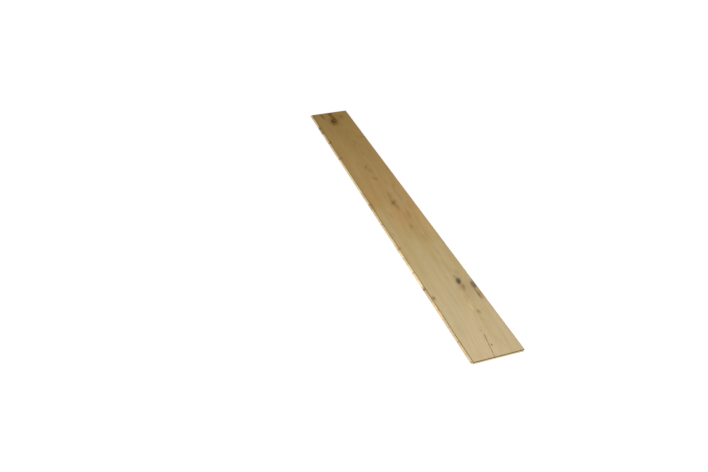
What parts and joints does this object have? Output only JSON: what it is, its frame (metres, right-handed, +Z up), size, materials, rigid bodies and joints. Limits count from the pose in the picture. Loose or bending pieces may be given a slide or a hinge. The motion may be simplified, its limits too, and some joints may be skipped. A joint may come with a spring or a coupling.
{
  "type": "wide plank floorboard",
  "caption": "Wide engineered oak floorboard lying face up, with a bevelled oak face, a core of crosswise slats, a backing veneer, and tongue and groove on long sides and ends.",
  "frame": {"origin": "on the underside, straight below the middle of the face", "axes": "+Y along the board towards the end with the tongue, +X across it towards the grooved long side, +Z up out of the oak face"},
  "size_m": [0.198, 1.908, 0.014],
  "materials": {
    "oak_face": "matt lacquered oak with knots, rustic grade",
    "core_slat": "bare planed softwood, some end grain",
    "backing": "bare sanded softwood veneer"
  },
  "bodies": {
    "root": {"backing_veneer": "backing", "slat_01": "core_slat", "slat_02": "core_slat", "slat_03": "core_slat", "slat_04": "core_slat", "slat_05": "core_slat", "slat_06": "core_slat", "slat_07": "core_slat", "slat_08": "core_slat", "slat_09": "core_slat", "slat_10": "core_slat", "slat_11": "core_slat", "slat_12": "core_slat", "slat_13": "core_slat", "slat_14": "core_slat", "slat_15": "core_slat", "slat_16": "core_slat", "slat_17": "core_slat", "slat_18": "core_slat", "slat_19": "core_slat", "slat_20": "core_slat", "slat_21": "core_slat", "slat_22": "core_slat", "slat_23": "core_slat", "slat_24": "core_slat", "slat_25": "core_slat", "slat_26": "core_slat", "slat_27": "core_slat", "slat_28": "core_slat", "slat_29": "core_slat", "slat_30": "core_slat", "slat_31": "core_slat", "slat_32": "core_slat", "slat_33": "core_slat", "slat_34": "core_slat", "slat_35": "core_slat", "slat_36": "core_slat", "slat_37": "core_slat", "slat_38": "core_slat", "slat_39": "core_slat", "slat_40": "core_slat", "slat_41": "core_slat", "slat_42": "core_slat", "wear_layer": "oak_face"}
  },
  "joints": []
}
